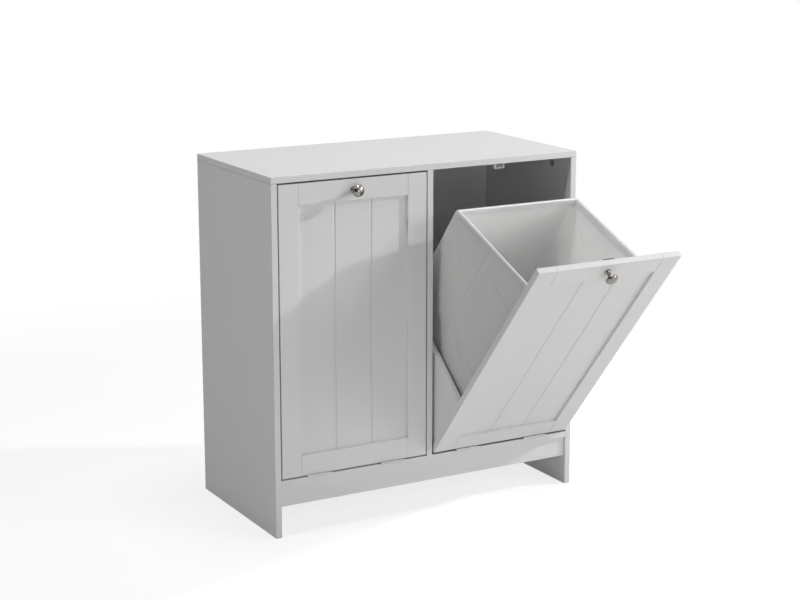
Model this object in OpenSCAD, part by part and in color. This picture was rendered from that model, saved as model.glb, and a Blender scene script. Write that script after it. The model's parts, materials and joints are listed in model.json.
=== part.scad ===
// Laundry cabinet with two tilt-out hampers, the left one closed and the right one open.
// X runs to the right, Y to the back and Z up. The origin is on the floor, at the
// middle of the carcass's footprint. A hamper's pieces are drawn in the closed
// position around X = 0, and in_hamper() takes them to their bay and tilts them.

/* [Carcass] */
// Overall width of the carcass
cabinet_w = 660; // [620:1:760]
// Overall depth of the carcass
cabinet_d = 330; // [315:1:400]
// Overall height, from the floor to the top
cabinet_h = 681; // [660:1:800]
// Thickness of the carcass and tray boards
board_t = 12; // [12:0.5:16]
// Height of the bottom panel's upper face above the floor
floor_h = 111; // [95:1:160]
// Height of the kick board under the bottom panel
kick_h = 40; // [32:1:60]
// Distance from the front plane to the kick board's face
kick_setback = 5; // [2:1:30]
// Bevel along the edges of every board
edge_bevel = 0.4; // [0.2:0.1:0.8]
// Thickness of the back panel
back_t = 3; // [2.5:0.5:5]
// Distance from the carcass's rear edges to the back panel
back_inset = 16; // [10:1:40]
// How far the back panel reaches into its grooves
back_seat = 5.5; // [3:0.5:7]

/* [Doors] */
// Gap at each side of a door
door_side_gap = 2.5; // [1.5:0.25:4]
// Gap above a door
door_top_gap = 3; // [2:0.25:5]
// Gap below a door, which holds its hinge leaves
door_bottom_gap = 3; // [2.6:0.1:3.8]
// Thickness of the door frame
door_t = 12; // [12:0.5:16]
// Width of the door's stiles and rails
frame_w = 40; // [34:1:60]
// Distance from the frame's face to the panel's face
panel_recess = 5; // [3:0.25:6]
// Thickness of the door panel
panel_t = 4; // [3:0.25:4.5]
// How far the door panel reaches into the frame
panel_seat = 8; // [5:0.5:10]
// Number of planks that the door panel shows
plank_count = 3; // [2:1:6]
// Width of the V groove between two planks
plank_groove_w = 4; // [2:0.25:6]
// Depth of the V groove between two planks
plank_groove_d = 1.6; // [0.8:0.1:2.2]

/* [Tilt] */
// Tilt at which a hamper meets its stops
tilt_max = 40; // [30:1:45]
// Tilt of the left hamper as drawn
left_open = 0; // [0:1:30]
// Tilt of the right hamper as drawn
right_open = 40; // [0:1:40]
// Distance from the hinge line to the stop pegs, along the tray's upper edge
stop_reach = 250; // [200:1:265]
// Gap between a stop sleeve and the tray at full tilt
stop_gap = 0.3; // [0.2:0.05:0.5]
// Diameter of a stop peg's shank
peg_d = 5; // [4:0.5:6]
// How deep a stop peg is screwed into its board
peg_depth = 5; // [4:0.5:5.5]
// Outer diameter of a stop sleeve
sleeve_d = 10; // [8:0.5:14]
// Length of a stop sleeve
sleeve_len = 13; // [9:0.5:14]
// Thickness and overhang of a stop peg's head
peg_head = 1; // [0.8:0.1:1.5]

/* [Hinges] */
// Length of a hinge
hinge_len = 50; // [36:1:70]
// Distance from the door's middle to each hinge's middle
hinge_offset = 78; // [50:1:100]
// Thickness of a hinge leaf
leaf_t = 1; // [0.8:0.1:1.2]
// How far a hinge leaf reaches behind the front plane
leaf_reach = 11; // [9:0.5:12]
// Diameter of a hinge pin
pin_d = 2; // [1.6:0.1:2.4]
// Radial clearance of a pin in its knuckles
pin_clear = 0.05; // [0.02:0.01:0.09]
// Number of knuckles on a hinge
knuckle_count = 5; // [3:2:7]
// Gap between neighbouring knuckles
knuckle_gap = 0.3; // [0.2:0.05:0.6]

/* [Knob and catch] */
// Diameter of the knob's head
knob_d = 23.5; // [18:0.5:32]
// How far the knob stands out from the door
knob_proj = 25; // [20:0.5:34]
// Diameter of the knob's foot
knob_foot_d = 13; // [10:0.5:18]
// Diameter of the knob's neck
knob_neck_d = 7; // [6:0.25:9]
// Distance from the door's upper edge down to the knob's axis
knob_drop = 20; // [19:0.5:23]
// Diameter of the knob screw
knob_screw_d = 4; // [3:0.5:5]
// Width of a strike plate
strike_w = 23; // [18:1:32]
// Height of a strike plate
strike_h = 14; // [12:0.5:14.5]
// Thickness of a strike plate
strike_t = 2; // [1:0.25:3]
// Gap between a catch and its strike plate
catch_gap = 0.4; // [0.3:0.1:1]
// Width of a catch's housing
catch_w = 22; // [18:1:30]
// Depth of a catch's housing
catch_d = 12; // [10:0.5:16]
// Height of a catch's housing
catch_h = 12; // [10:0.5:14]
// Wall of a catch's housing
catch_wall = 3; // [2:0.25:3.5]
// Length of each screw ear on a catch
ear_len = 6.5; // [6:0.5:9]

/* [Tray] */
// Height of the tray's side and back boards
tray_h = 145; // [110:1:200]
// Distance from a door's side edge to the tray's side board
tray_inset = 2.5; // [1:0.25:5]
// Height of the tray's underside above the door's lower edge
tray_lift = 3; // [2:0.5:10]
// Distance from the closed tray to the back panel
tray_rear_clear = 23.5; // [15:0.5:40]

/* [Bag] */
// Gap between the bag and each side board of the tray
bag_side_gap = 1.5; // [0.5:0.25:3]
// Gap between the bag and the door, and behind the bag
bag_end_gap = 1; // [0.5:0.25:3]
// Gap under the bag's base
bag_base_gap = 0.3; // [0.2:0.1:0.8]
// Distance from the door's upper edge down to the bag's front rim
rim_drop = 63.5; // [50:0.5:120]
// Slope of the bag's rim, down towards the back
rim_slope = 18; // [0:1:24]
// Thickness of the bag's wall
cloth_t = 2.5; // [2:0.25:4]
// Thickness of the hem around the wire
hem_t = 9; // [7.5:0.5:12]
// Height of the hem
hem_h = 20; // [14:1:30]
// Radius of the bag's upright corners
bag_corner_r = 10; // [8:1:20]
// Diameter of the wire in the hem
wire_d = 4; // [3:0.5:4.5]

/* [Fittings] */
// Diameter of a cam lock
cam_d = 14.8; // [12:0.2:16]
// Height of a cam lock
cam_h = 8.8; // [8:0.2:9.4]
// Distance from a board's end to its cam locks
cam_drop = 20; // [16:0.5:30]
// Distance from the carcass's front and back to the cam locks
cam_inset = 66; // [50:1:90]
// Distance from a cam lock to the dowel beside it
dowel_pitch = 32; // [20:1:40]
// Diameter of a dowel
dowel_d = 6; // [5:0.5:8]
// Length of a dowel
dowel_len = 24; // [20:1:30]
// Length of thread at the end of a cam bolt
bolt_thread = 8; // [6:0.5:9]
// Diameter of a cam bolt's thread
bolt_thread_d = 5; // [4:0.5:6]
// Diameter of a cam bolt's collar and head
bolt_head_d = 7; // [6:0.25:8]
// Diameter of a cam bolt's shank
bolt_shank_d = 4; // [3:0.25:5]
// Diameter of the screws in the hinge leaves, catches and strike plates
small_screw_d = 2.5; // [2:0.1:3]
// Diameter of the screws in the divider and the trays
board_screw_d = 4; // [3.5:0.25:5]
// Length of the screws in the divider and the trays
board_screw_len = 38; // [32:1:50]
// Clearance around every screw, bolt and dowel
hole_clear = 0.05; // [0.03:0.01:0.1]
// Clearance of a board or a tongue in its groove
groove_clear = 0.1; // [0.05:0.05:0.3]

/* [Hidden] */
$fn = 48;

board_colour = [0.85, 0.85, 0.84];
frame_colour = [0.82, 0.82, 0.81];
panel_colour = [0.80, 0.80, 0.79];
cloth_colour = [0.74, 0.74, 0.73];
plastic_colour = [0.92, 0.92, 0.90];
steel_colour = [0.62, 0.62, 0.64];
dark_colour = [0.25, 0.25, 0.26];
wood_colour = [0.78, 0.65, 0.48];

// Overlap of cutting solids past the faces that they cut
over = 1;

// Planes of the carcass
front_y = -cabinet_d / 2;
rear_y = cabinet_d / 2;
outer_x = cabinet_w / 2;
inner_x = outer_x - board_t;
top_under = cabinet_h - board_t;
floor_under = floor_h - board_t;
kick_y = front_y + kick_setback;
kick_top = floor_under;
back_y1 = rear_y - back_inset;
back_y0 = back_y1 - back_t;
bay_w = inner_x - board_t / 2;
bay_x = (inner_x + board_t / 2) / 2;

// Planes of a closed door
door_w = bay_w - 2 * door_side_gap;
door_z0 = floor_h + door_bottom_gap;
door_z1 = top_under - door_top_gap;
door_back = front_y + door_t;
opening_x = door_w / 2 - frame_w;
panel_y0 = front_y + panel_recess;
panel_y1 = panel_y0 + panel_t;
stile_x = door_w / 2 - frame_w / 2;
tongue_stop = frame_w - panel_seat - groove_clear;
groove_stop = 12;

// Hinge line and hinge details
pin_r = pin_d / 2;
knuckle_r = pin_r + leaf_t;
pivot_y = front_y - knuckle_r;
pivot_z = floor_h + door_bottom_gap / 2;
leaf_end = knuckle_r + leaf_reach;
knuckle_pitch = hinge_len / knuckle_count;
leaf_screw_x = hinge_len * 0.3;
leaf_screw_y = front_y + leaf_reach / 2;
leaf_corner_r = 2;
pin_head_t = 0.6;
pin_head_r = knuckle_r - 0.3;

// Planes of a closed tray
tray_x1 = door_w / 2 - tray_inset;
tray_x0 = tray_x1 - board_t;
tray_z0 = door_z0 + tray_lift;
tray_z1 = tray_z0 + tray_h;
tray_floor = tray_z0 + board_t;
tray_y1 = back_y0 - tray_rear_clear;
tray_back_y = tray_y1 - board_t;
tray_cam_zs = [tray_z0 + tray_h * 0.25, tray_z1 - tray_h * 0.25];

// Closed bag
bag_w = 2 * (tray_x0 - bag_side_gap);
bag_y0 = door_back + bag_end_gap;
bag_y1 = tray_back_y - bag_end_gap;
bag_d = bag_y1 - bag_y0;
bag_y = (bag_y0 + bag_y1) / 2;
bag_z0 = tray_floor + bag_base_gap;
rim_front_z = door_z1 - rim_drop;
rim_mid_z = rim_front_z - tan(rim_slope) * bag_d / 2;
wire_inset = hem_t / 2;
wire_clear = 0.2;
wire_r = wire_d / 2;
wire_turn_r = max(bag_corner_r - wire_inset, wire_r + wire_clear + 1);
feed_gap = 16;

// Knob, strike plate and catch
knob_z = door_z1 - knob_drop;
strike_y1 = door_back + strike_t;
catch_y0 = strike_y1 + catch_gap;
pole_stand = 0.6;
pole_t = 1;
pole_drop = 0.4;
catch_floor_t = 2;
catch_play = 0.2;
ear_t = 2;
ear_depth = 9;
catch_screw_x = catch_w / 2 + ear_len / 2 - 0.5;
catch_screw_y = catch_y0 + pole_stand + ear_depth / 2;

// Stop peg's centre, above the tray's upper edge at full tilt
stop_v = tray_z1 - pivot_z + sleeve_d / 2 + stop_gap;
stop_y = pivot_y + stop_reach * cos(tilt_max) - stop_v * sin(tilt_max);
stop_z = pivot_z + stop_reach * sin(tilt_max) + stop_v * cos(tilt_max);

// Places of the fittings. A site's Z axis runs from the joint into the board that
// holds the cam lock, and its X axis points out of the cam lock's open face.
cam_ys = [front_y + cam_inset, rear_y - cam_inset];
dowel_ys = [cam_ys[0] + dowel_pitch, cam_ys[1] - dowel_pitch];
side_mid_x = outer_x - board_t / 2;
kick_mid_z = kick_top - kick_h / 2;
cam_face = board_t / 2;
cam_sink = 0.2;
bolt_collar_t = 1.2;
bolt_head_t = 2.4;

function top_sites(x, turn, ys) = [for (y = ys) [[x, y, top_under], [180, 0, turn]]];
function bottom_sites(side, ys) = [
    for (y = ys) [[side * inner_x, y, floor_h - board_t / 2], [0, 90, side < 0 ? 0 : 180]]
];
function kick_sites(side, zs) = [
    for (z = zs) [[side * inner_x, kick_y + board_t / 2, z], [side < 0 ? 90 : -90, 0, 90]]
];
function tray_sites(side) = [
    for (z = tray_cam_zs)
        [[side * (tray_x0 + tray_x1) / 2, door_back, z], [-90, side < 0 ? 0 : 180, 0]]
];
function upright_sites(ys) = concat(
    top_sites(-side_mid_x, 0, ys), top_sites(0, 180, ys), top_sites(side_mid_x, 180, ys)
);
function side_sites(side, ys, zs) = concat(bottom_sites(side, ys), kick_sites(side, zs));

kick_cam_zs = [kick_mid_z + kick_h / 5];
kick_dowel_zs = [kick_mid_z - kick_h / 4];
cam_sites = concat(
    upright_sites(cam_ys), side_sites(-1, cam_ys, kick_cam_zs), side_sites(1, cam_ys, kick_cam_zs)
);
dowel_sites = concat(
    upright_sites(dowel_ys), side_sites(-1, dowel_ys, kick_dowel_zs),
    side_sites(1, dowel_ys, kick_dowel_zs)
);

module at_sites(sites) {
    for (site = sites) translate(site[0]) rotate(site[1]) children();
}

module in_hamper(side) {
    translate([side * bay_x, pivot_y, pivot_z])
        rotate([side < 0 ? left_open : right_open, 0, 0])
            translate([0, -pivot_y, -pivot_z]) children();
}

// Boards and blocks

module block(low, high) {
    translate(low) cube(high - low);
}

module bevelled_rect(w, h, b) {
    polygon([[b, 0], [w - b, 0], [w, b], [w, h - b], [w - b, h], [b, h], [0, h - b], [0, b]]);
}

module board(low, high) {
    size = high - low;
    translate(low) intersection() {
        linear_extrude(size.z) bevelled_rect(size.x, size.y, edge_bevel);
        translate([0, size.y, 0]) rotate([90, 0, 0])
            linear_extrude(size.y) bevelled_rect(size.x, size.z, edge_bevel);
        rotate([90, 0, 90]) linear_extrude(size.x) bevelled_rect(size.y, size.z, edge_bevel);
    }
}

module rounded_rect(w, d, r) {
    square([w - 2 * r, d], center = true);
    square([w, d - 2 * r], center = true);
    for (x = [-1, 1], y = [-1, 1]) translate([x * (w / 2 - r), y * (d / 2 - r)]) circle(r);
}

// Screws point along +Z, with the top of the head at Z = 0

module countersunk_screw(d, length) {
    head_r = d * 0.9;
    sink = head_r - d / 2;
    difference() {
        rotate_extrude() polygon([
            [0, 0], [head_r, 0], [d / 2, sink], [d / 2, length - d], [0, length]
        ]);
        cross_recess(d * 1.1, d * 0.24, sink * 0.7);
    }
}

module countersunk_hole(d, length) {
    r = d / 2 + hole_clear;
    head_r = d * 0.9 + hole_clear;
    rotate_extrude() polygon([
        [0, -over], [head_r, -over], [head_r, 0], [r, head_r - r], [r, length + hole_clear],
        [0, length + hole_clear]
    ]);
}

module pan_screw(d, length) {
    head_r = d;
    head_t = d * 0.6;
    difference() {
        rotate_extrude() polygon([
            [0, -head_t], [head_r - head_t / 2, -head_t], [head_r, -head_t / 2], [head_r, 0],
            [d / 2, 0], [d / 2, length - d / 4], [d / 4, length], [0, length]
        ]);
        translate([0, 0, -head_t]) cross_recess(head_r, head_r * 0.2, head_t * 0.6);
    }
}

module cross_recess(length, width, depth) {
    for (turn = [0, 90])
        rotate(turn) translate([-length / 2, -width / 2, -over]) cube([length, width, depth + over]);
}

// Cam fittings and dowels, drawn at a site

module cam_lock() {
    neck_w = bolt_shank_d + 0.6;
    pocket_w = bolt_head_d + 0.6;
    face = cam_face - cam_sink;
    translate([0, 0, cam_drop]) difference() {
        translate([face - cam_h, 0, 0]) rotate([0, 90, 0]) cylinder(d = cam_d, h = cam_h);
        translate([face, 0, 0]) rotate([0, -90, 0]) cross_recess(cam_d * 0.55, 1.4, 1.8);
        translate([face - cam_h - over, -neck_w / 2, -cam_d])
            cube([cam_h + over - face + neck_w / 2, neck_w, cam_d]);
        translate([face - cam_h - over, -pocket_w / 2, -pocket_w / 2])
            cube([cam_h + over - face + pocket_w / 2, pocket_w, pocket_w]);
    }
}

module cam_cut() {
    pocket_h = cam_h + cam_sink;
    bore_h = cam_drop + bolt_head_t / 2 + 2 * hole_clear;
    translate([0, 0, cam_drop]) rotate([0, 90, 0]) translate([0, 0, cam_face - pocket_h])
        cylinder(r = cam_d / 2 + 2 * hole_clear, h = pocket_h + over);
    translate([0, 0, -over]) cylinder(r = bolt_head_d / 2 + 2 * hole_clear, h = bore_h + over);
}

module cam_bolt() {
    translate([0, 0, -bolt_thread]) cylinder(d = bolt_thread_d, h = bolt_thread);
    cylinder(d = bolt_head_d, h = bolt_collar_t);
    cylinder(d = bolt_shank_d, h = cam_drop);
    translate([0, 0, cam_drop - bolt_head_t / 2]) cylinder(d = bolt_head_d, h = bolt_head_t);
}

module bolt_hole() {
    translate([0, 0, -bolt_thread - 0.5])
        cylinder(r = bolt_thread_d / 2 + hole_clear, h = bolt_thread + 0.5 + over);
}

module dowel() {
    nose = dowel_d * 0.12;
    translate([0, 0, -bolt_thread]) rotate_extrude() polygon([
        [0, 0], [dowel_d / 2 - nose, 0], [dowel_d / 2, nose], [dowel_d / 2, dowel_len - nose],
        [dowel_d / 2 - nose, dowel_len], [0, dowel_len]
    ]);
}

module dowel_hole() {
    translate([0, 0, -bolt_thread - 0.5]) cylinder(r = dowel_d / 2 + hole_clear, h = dowel_len + 1);
}

// Carcass

module back_groove(low, high) {
    block(
        [low.x, back_y0 - groove_clear, low.y],
        [high.x, back_y1 + groove_clear, high.y]
    );
}

module top_panel() {
    color(board_colour) difference() {
        board([-outer_x, front_y, top_under], [outer_x, rear_y, cabinet_h]);
        at_sites(upright_sites(cam_ys)) bolt_hole();
        at_sites(upright_sites(dowel_ys)) dowel_hole();
        back_groove(
            [-inner_x - back_seat - 0.5, top_under - over],
            [inner_x + back_seat + 0.5, top_under + back_seat + 0.5]
        );
        at_catches() at_catch_screws() screw_pilot(small_screw_d, catch_screw_len - ear_t);
    }
}

module side_panel(side) {
    x0 = side < 0 ? -outer_x : inner_x;
    groove_x = side * (inner_x + back_seat + 0.5);
    turn = side < 0 ? 0 : 180;
    color(board_colour) difference() {
        board([x0, front_y, 0], [x0 + board_t, rear_y, top_under]);
        at_sites(top_sites(side * side_mid_x, turn, cam_ys)) cam_cut();
        at_sites(top_sites(side * side_mid_x, turn, dowel_ys)) dowel_hole();
        at_sites(side_sites(side, cam_ys, kick_cam_zs)) bolt_hole();
        at_sites(side_sites(side, dowel_ys, kick_dowel_zs)) dowel_hole();
        back_groove(
            [min(groove_x, side * (inner_x - over)), -over],
            [max(groove_x, side * (inner_x - over)), top_under + over]
        );
        at_stop(side, side) peg_hole();
    }
}

module left_side_panel() {
    side_panel(-1);
}

module right_side_panel() {
    side_panel(1);
}

module divider_panel() {
    color(board_colour) difference() {
        board([-board_t / 2, front_y, floor_h], [board_t / 2, back_y0, top_under]);
        at_sites(top_sites(0, 180, cam_ys)) cam_cut();
        at_sites(top_sites(0, 180, dowel_ys)) dowel_hole();
        at_divider_screws() countersunk_hole(board_screw_d, board_screw_len);
        at_stop(-1, 1) peg_hole();
        at_stop(1, -1) peg_hole();
    }
}

module bottom_panel() {
    color(board_colour) difference() {
        board([-inner_x, front_y, floor_under], [inner_x, rear_y, floor_h]);
        for (side = [-1, 1]) {
            at_sites(bottom_sites(side, cam_ys)) cam_cut();
            at_sites(bottom_sites(side, dowel_ys)) dowel_hole();
        }
        at_divider_screws() countersunk_hole(board_screw_d, board_screw_len);
        back_groove(
            [-outer_x, floor_h - back_seat - 0.5],
            [outer_x, floor_h + over]
        );
        for (side = [-1, 1]) translate([side * bay_x, 0, 0]) at_leaf_screws(-1)
            countersunk_hole(small_screw_d, leaf_screw_len);
    }
}

module kick_board() {
    color(board_colour) difference() {
        board([-inner_x, kick_y, kick_top - kick_h], [inner_x, kick_y + board_t, kick_top]);
        for (side = [-1, 1]) {
            at_sites(kick_sites(side, kick_cam_zs)) cam_cut();
            at_sites(kick_sites(side, kick_dowel_zs)) dowel_hole();
        }
    }
}

module back_panel() {
    reach = inner_x + back_seat;
    color(panel_colour) block(
        [-reach, back_y0, floor_h - back_seat],
        [reach, back_y1, top_under + back_seat]
    );
}

module cam_locks() {
    color(steel_colour) at_sites(cam_sites) cam_lock();
}

module cam_bolts() {
    color(steel_colour) at_sites(cam_sites) cam_bolt();
}

module dowels() {
    color(wood_colour) at_sites(dowel_sites) dowel();
}

module at_divider_screws() {
    for (y = cam_ys) translate([0, y, floor_under]) children();
}

module divider_screws() {
    color(steel_colour) at_divider_screws() countersunk_screw(board_screw_d, board_screw_len);
}

// Catches under the top panel and the pegs that stop the tilt

catch_screw_len = 11;

module at_catches() {
    for (side = [-1, 1]) translate([side * bay_x, 0, 0]) children();
}

module at_catch_screws() {
    for (x = [-1, 1]) translate([x * catch_screw_x, catch_screw_y, top_under]) children();
}

module screw_pilot(d, length) {
    cylinder(r = d / 2 + hole_clear, h = length + 0.5);
}

module catch_housing() {
    y0 = catch_y0 + pole_stand;
    cavity_x = catch_w / 2 - catch_wall;
    difference() {
        union() {
            board([-catch_w / 2, y0, top_under - catch_h], [catch_w / 2, y0 + catch_d, top_under]);
            translate([0, y0 + ear_depth / 2, top_under - ear_t])
                linear_extrude(ear_t)
                    rounded_rect(catch_w + 2 * ear_len, ear_depth, ear_depth / 2 - 0.5);
        }
        block(
            [-cavity_x, y0 - over, top_under - catch_h + catch_floor_t],
            [cavity_x, y0 + catch_d - catch_floor_t, top_under - ear_t]
        );
        block(
            [-cavity_x, y0 - over, top_under - catch_h - over],
            [cavity_x, y0 + catch_floor_t, top_under - catch_h + catch_floor_t + over]
        );
        at_catch_screws() mirror([0, 0, 1]) cylinder(r = small_screw_d / 2 + 0.3, h = ear_t + over);
    }
}

module catch_housings() {
    color(plastic_colour) at_catches() catch_housing();
}

module catch_magnet() {
    x = catch_w / 2 - catch_wall - catch_play;
    z1 = min(top_under - ear_t - catch_play, door_z1 - pole_drop);
    z0 = top_under - catch_h + catch_floor_t + catch_play;
    y0 = catch_y0;
    y1 = catch_y0 + pole_stand + catch_d - catch_floor_t - catch_play;
    union() {
        block([-x, y0, z1 - pole_t], [x, y1, z1]);
        block([-x, y0, z0], [x, y1, z0 + pole_t]);
        block([-x + 0.5, y0 + 1.5, z0], [x - 0.5, y1, z1]);
    }
}

module catch_magnets() {
    color(dark_colour) at_catches() catch_magnet();
}

module catch_screws() {
    color(steel_colour) at_catches() at_catch_screws() translate([0, 0, -ear_t])
        pan_screw(small_screw_d, catch_screw_len);
}

// Site of the stop peg on the wall at one side of a bay: Z points out of the wall
module at_stop(bay, wall) {
    wall_x = bay * bay_x + wall * bay_w / 2;
    translate([wall_x, stop_y, stop_z]) rotate([0, wall < 0 ? 90 : -90, 0]) children();
}

module at_stops() {
    for (bay = [-1, 1], wall = [-1, 1]) at_stop(bay, wall) children();
}

module peg_hole() {
    translate([0, 0, -peg_depth - 0.2]) cylinder(r = peg_d / 2 + hole_clear, h = peg_depth + over);
}

module stop_pegs() {
    color(steel_colour) at_stops() {
        translate([0, 0, -peg_depth]) cylinder(d = peg_d, h = peg_depth + sleeve_len + 0.1);
        translate([0, 0, sleeve_len + 0.1]) cylinder(r = peg_d / 2 + peg_head, h = peg_head);
    }
}

module stop_sleeves() {
    bevel = 0.5;
    bore_r = peg_d / 2 + hole_clear;
    color(dark_colour) at_stops() rotate_extrude() polygon([
        [bore_r, 0], [sleeve_d / 2 - bevel, 0], [sleeve_d / 2, bevel],
        [sleeve_d / 2, sleeve_len - bevel], [sleeve_d / 2 - bevel, sleeve_len],
        [bore_r, sleeve_len]
    ]);
}

// Hinges. The base leaf lies on the bottom panel and carries the first, third and
// last knuckles; the door leaf lies under the door and carries the others.

leaf_screw_len = 9;

module at_hinges() {
    for (x = [-1, 1]) translate([x * hinge_offset, 0, 0]) children();
}

// Screw sites in the leaves: up = -1 for the base leaf and 1 for the door leaf
module at_leaf_screws(up) {
    z = up < 0 ? floor_h + leaf_t : door_z0 - leaf_t;
    at_hinges() for (x = [-1, 1]) translate([x * leaf_screw_x, leaf_screw_y, z])
        mirror([0, 0, up < 0 ? 1 : 0]) children();
}

module knuckle_ring(length) {
    rotate([0, 90, 0]) cylinder(r = knuckle_r, h = length);
}

module hinge_leaf(up) {
    first = up < 0 ? 0 : 1;
    plate_y0 = knuckle_r + 0.3;
    plate_z = up * (door_bottom_gap / 2 - leaf_t / 2);
    difference() {
        union() {
            translate([0, (plate_y0 + leaf_end) / 2, plate_z - leaf_t / 2])
                linear_extrude(leaf_t)
                    rounded_rect(hinge_len, leaf_end - plate_y0, leaf_corner_r);
            for (i = [first:2:knuckle_count - 1]) {
                x0 = -hinge_len / 2 + i * knuckle_pitch + (i == 0 ? 0 : knuckle_gap / 2);
                x1 = -hinge_len / 2 + (i + 1) * knuckle_pitch
                    - (i == knuckle_count - 1 ? 0 : knuckle_gap / 2);
                translate([x0, 0, 0]) knuckle_ring(x1 - x0);
                block(
                    [x0, 0, plate_z - leaf_t / 2],
                    [x1, plate_y0 + leaf_corner_r + 1, plate_z + leaf_t / 2]
                );
            }
        }
        translate([-hinge_len / 2 - over, 0, 0]) rotate([0, 90, 0])
            cylinder(r = pin_r + pin_clear, h = hinge_len + 2 * over);
    }
}

module hinge_leaves(up) {
    difference() {
        translate([0, pivot_y, pivot_z]) at_hinges() hinge_leaf(up);
        at_leaf_screws(up) countersunk_hole(small_screw_d, leaf_screw_len);
    }
}

module hinge_base_leaves() {
    color(steel_colour) for (side = [-1, 1]) translate([side * bay_x, 0, 0]) hinge_leaves(-1);
}

module hinge_pins() {
    color(steel_colour) for (side = [-1, 1]) translate([side * bay_x, pivot_y, pivot_z])
        at_hinges() rotate([0, 90, 0]) {
            cylinder(r = pin_r, h = hinge_len + pin_head_t, center = true);
            for (end = [-1, 1]) translate([0, 0, end * (hinge_len + pin_head_t) / 2])
                cylinder(r = pin_head_r, h = pin_head_t, center = true);
        }
}

module base_leaf_screws() {
    color(steel_colour) for (side = [-1, 1]) translate([side * bay_x, 0, 0]) at_leaf_screws(-1)
        countersunk_screw(small_screw_d, leaf_screw_len);
}

// Door, drawn closed around X = 0

module door_stile(side) {
    x0 = side < 0 ? -door_w / 2 : opening_x;
    groove_end = side * (opening_x + panel_seat + groove_clear);
    groove_mouth = side * (opening_x - over);
    color(frame_colour) difference() {
        board([x0, front_y, door_z0], [x0 + frame_w, door_back, door_z1]);
        block(
            [min(groove_end, groove_mouth), panel_y0 - groove_clear, door_z0 + groove_stop],
            [max(groove_end, groove_mouth), panel_y1 + groove_clear, door_z1 - groove_stop]
        );
        at_sites(tray_sites(side)) bolt_hole();
    }
}

// Rail with its panel groove and the tongues that fit the stiles: up = 1 for the top rail
module door_rail(up) {
    z0 = up > 0 ? door_z1 - frame_w : door_z0;
    z1 = z0 + frame_w;
    inner_z = up > 0 ? z0 : z1;
    groove_z = inner_z + up * (panel_seat + groove_clear);
    mouth_z = inner_z - up * over;
    tongue_inner = up > 0 ? door_z1 - tongue_stop : door_z0 + tongue_stop;
    tongue_outer = up > 0 ? door_z1 - groove_stop - groove_clear : door_z0 + groove_stop + groove_clear;
    reach = opening_x + panel_seat;
    difference() {
        union() {
            board([-opening_x, front_y, z0], [opening_x, door_back, z1]);
            block(
                [-reach, panel_y0, min(tongue_inner, tongue_outer)],
                [reach, panel_y1, max(tongue_inner, tongue_outer)]
            );
        }
        block(
            [-reach - over, panel_y0 - groove_clear, min(groove_z, mouth_z)],
            [reach + over, panel_y1 + groove_clear, max(groove_z, mouth_z)]
        );
    }
}

module door_top_rail() {
    color(frame_colour) difference() {
        door_rail(1);
        translate([0, front_y - over, knob_z]) rotate([-90, 0, 0])
            cylinder(r = knob_screw_d / 2 + 0.25, h = door_t + 2 * over);
        at_strike_screws() countersunk_hole(small_screw_d, strike_screw_len);
    }
}

module door_bottom_rail() {
    color(frame_colour) difference() {
        door_rail(-1);
        at_leaf_screws(1) countersunk_hole(small_screw_d, leaf_screw_len);
    }
}

module door_panel() {
    reach_x = opening_x + panel_seat;
    low_z = door_z0 + frame_w - panel_seat;
    high_z = door_z1 - frame_w + panel_seat;
    plank_w = 2 * opening_x / plank_count;
    color(panel_colour) difference() {
        block([-reach_x, panel_y0, low_z], [reach_x, panel_y1, high_z]);
        for (i = [1:plank_count - 1])
            translate([-opening_x + i * plank_w, panel_y0, low_z - over])
                linear_extrude(high_z - low_z + 2 * over)
                    polygon([
                        [-plank_groove_w / 2, 0], [0, plank_groove_d], [plank_groove_w / 2, 0],
                        [plank_groove_w / 2, -over], [-plank_groove_w / 2, -over]
                    ]);
    }
}

// Knob: a flared foot, a thin neck and a domed head, turned around the screw's axis

knob_screw_len = 20;
knob_hole_depth = knob_screw_len - door_t + 1.5;
knob_steps = 8;
knob_foot_t = 1.2;
knob_neck_z0 = knob_proj * 0.24;
knob_neck_z1 = knob_proj * 0.36;
knob_rim_z = knob_proj * 0.66;
knob_rim_r = 1.2;

function knob_outline() =
    let (
        foot_r = knob_foot_d / 2,
        neck_r = knob_neck_d / 2,
        head_r = knob_d / 2,
        under_r = head_r - knob_rim_r,
        foot = [
            for (i = [0:knob_steps]) let (a = 90 * i / knob_steps)
                [
                    neck_r + (foot_r - neck_r) * (1 - sin(a)),
                    knob_foot_t + (knob_neck_z0 - knob_foot_t) * (1 - cos(a))
                ]
        ],
        under = [
            for (i = [0:knob_steps]) let (a = 90 * i / knob_steps)
                [
                    neck_r + (under_r - neck_r) * (1 - cos(a)),
                    knob_neck_z1 + (knob_rim_z - knob_rim_r - knob_neck_z1) * sin(a)
                ]
        ],
        rim = [
            for (i = [1:knob_steps / 2]) let (a = -90 + 180 * i / knob_steps)
                [under_r + knob_rim_r * cos(a), knob_rim_z + knob_rim_r * sin(a)]
        ],
        dome = [
            for (i = [1:knob_steps]) let (a = 90 * i / knob_steps)
                [head_r * cos(a), knob_rim_z + (knob_proj - knob_rim_z) * sin(a)]
        ]
    )
    concat([[0, 0], [foot_r, 0]], foot, under, rim, dome);

module knob() {
    color(steel_colour) translate([0, front_y, knob_z]) rotate([90, 0, 0]) difference() {
        rotate_extrude() polygon(knob_outline());
        translate([0, 0, -over])
            cylinder(r = knob_screw_d / 2 + hole_clear, h = knob_hole_depth + over);
    }
}

module knob_screw() {
    color(steel_colour) translate([0, door_back, knob_z]) rotate([90, 0, 0])
        pan_screw(knob_screw_d, knob_screw_len);
}

// Strike plate with its countersunk screws, on the back of the top rail

strike_screw_len = 9;

module at_strike_screws() {
    for (x = [-1, 1])
        translate([x * strike_w * 0.28, strike_y1, door_z1 - strike_h * 0.62]) rotate([90, 0, 0])
            children();
}

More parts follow.
